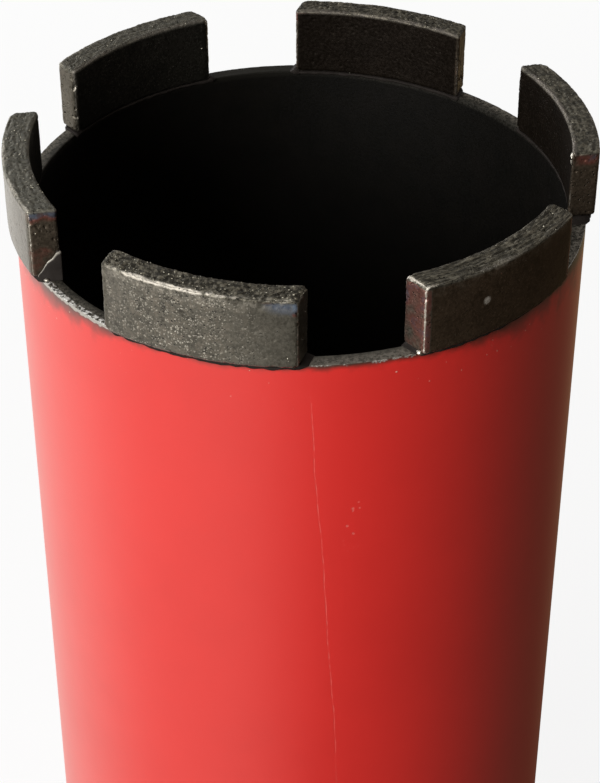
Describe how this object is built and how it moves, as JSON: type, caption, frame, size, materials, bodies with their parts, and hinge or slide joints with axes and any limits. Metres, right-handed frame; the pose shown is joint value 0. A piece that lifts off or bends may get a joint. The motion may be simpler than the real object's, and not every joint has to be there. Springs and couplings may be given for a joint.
{
  "type": "diamond core bit",
  "caption": "Thin-walled core bit: painted steel barrel with brazed diamond segments at the rim, welded back plate and internally threaded hub with spanner flats.",
  "frame": {"origin": "centre of the hub's end face, which seats on the drill spindle's shoulder and on which the bit stands", "axes": "+Z along the bit's axis from the hub to the cutting crown; +X through the middle of segment_1; the hub's two spanner flats face +Y and -Y"},
  "size_m": [0.076, 0.0746, 0.1958],
  "materials": {
    "red_paint": "semi-gloss enamel over steel, dark overspray below the rim",
    "diamond_matrix": "sintered metal bond, dark, grainy on top, heat-tinted at the ends",
    "silver_braze": "dull silver braze",
    "hub_steel": "turned steel, lightly oiled"
  },
  "bodies": {
    "root": {"barrel": "red_paint", "segment_1": "diamond_matrix", "segment_2": "diamond_matrix", "segment_3": "diamond_matrix", "segment_4": "diamond_matrix", "segment_5": "diamond_matrix", "segment_6": "diamond_matrix", "braze_1": "silver_braze", "braze_2": "silver_braze", "braze_3": "silver_braze", "braze_4": "silver_braze", "braze_5": "silver_braze", "braze_6": "silver_braze", "back_plate": "red_paint", "plate_weld": "red_paint", "hub": "hub_steel", "hub_weld": "red_paint"}
  },
  "joints": []
}
